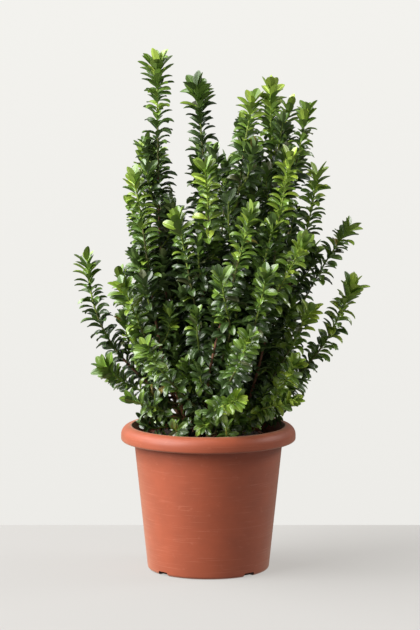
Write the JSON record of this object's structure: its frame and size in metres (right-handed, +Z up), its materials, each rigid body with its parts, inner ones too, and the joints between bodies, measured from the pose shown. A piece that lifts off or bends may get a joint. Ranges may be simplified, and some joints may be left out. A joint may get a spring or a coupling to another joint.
{
  "type": "potted japanese spindle",
  "caption": "Upright evergreen spindle shrub: a clump of stems with columns of small glossy leaves, in a round tapered plastic pot with a rolled lip.",
  "frame": {"origin": "middle of the flat underside of the pot", "axes": "+Z up along the pot's axis, -Y towards the front of the plant, +X to the right as seen from the front"},
  "size_m": [0.3096, 0.2936, 0.567],
  "materials": {
    "pot_plastic": "satin terracotta-coloured plastic with fine turning lines",
    "compost": "damp dark fibrous potting compost",
    "bark": "young brown bark, finely ridged",
    "foliage": "glossy evergreen leaves, lime at the growing tips"
  },
  "bodies": {
    "root": {"back_1": "foliage", "back_10": "foliage", "back_11": "foliage", "back_12": "foliage", "back_2": "foliage", "back_3": "foliage", "back_4": "foliage", "back_5": "foliage", "back_6": "foliage", "back_7": "foliage", "back_8": "foliage", "back_9": "foliage", "back_crown": "foliage", "back_left_spire": "foliage", "back_middle_spire": "foliage", "back_right_crown": "foliage", "centre_back": "foliage", "centre_bright": "foliage", "centre_right": "foliage", "front_bright": "foliage", "front_column": "foliage", "front_low": "foliage", "front_middle": "foliage", "front_skirt": "foliage", "left_arm": "foliage", "left_column": "foliage", "left_fan": "foliage", "left_foot": "foliage", "left_front": "foliage", "left_low": "foliage", "left_shoulder": "foliage", "left_skirt": "foliage", "left_spire": "foliage", "middle_spire": "foliage", "pot": "pot_plastic", "right_arm_high": "foliage", "right_arm_low": "foliage", "right_bright": "foliage", "right_column": "foliage", "right_crown": "foliage", "right_crown_front": "foliage", "right_foot": "foliage", "right_low": "foliage", "right_shoulder": "foliage", "right_skirt": "foliage", "right_spire": "foliage", "soil": "compost", "stem_1": "bark", "stem_10": "bark", "stem_2": "bark", "stem_3": "bark", "stem_4": "bark", "stem_5": "bark", "stem_6": "bark", "stem_7": "bark", "stem_8": "bark", "stem_9": "bark", "yellow_stem": "foliage"}
  },
  "joints": []
}
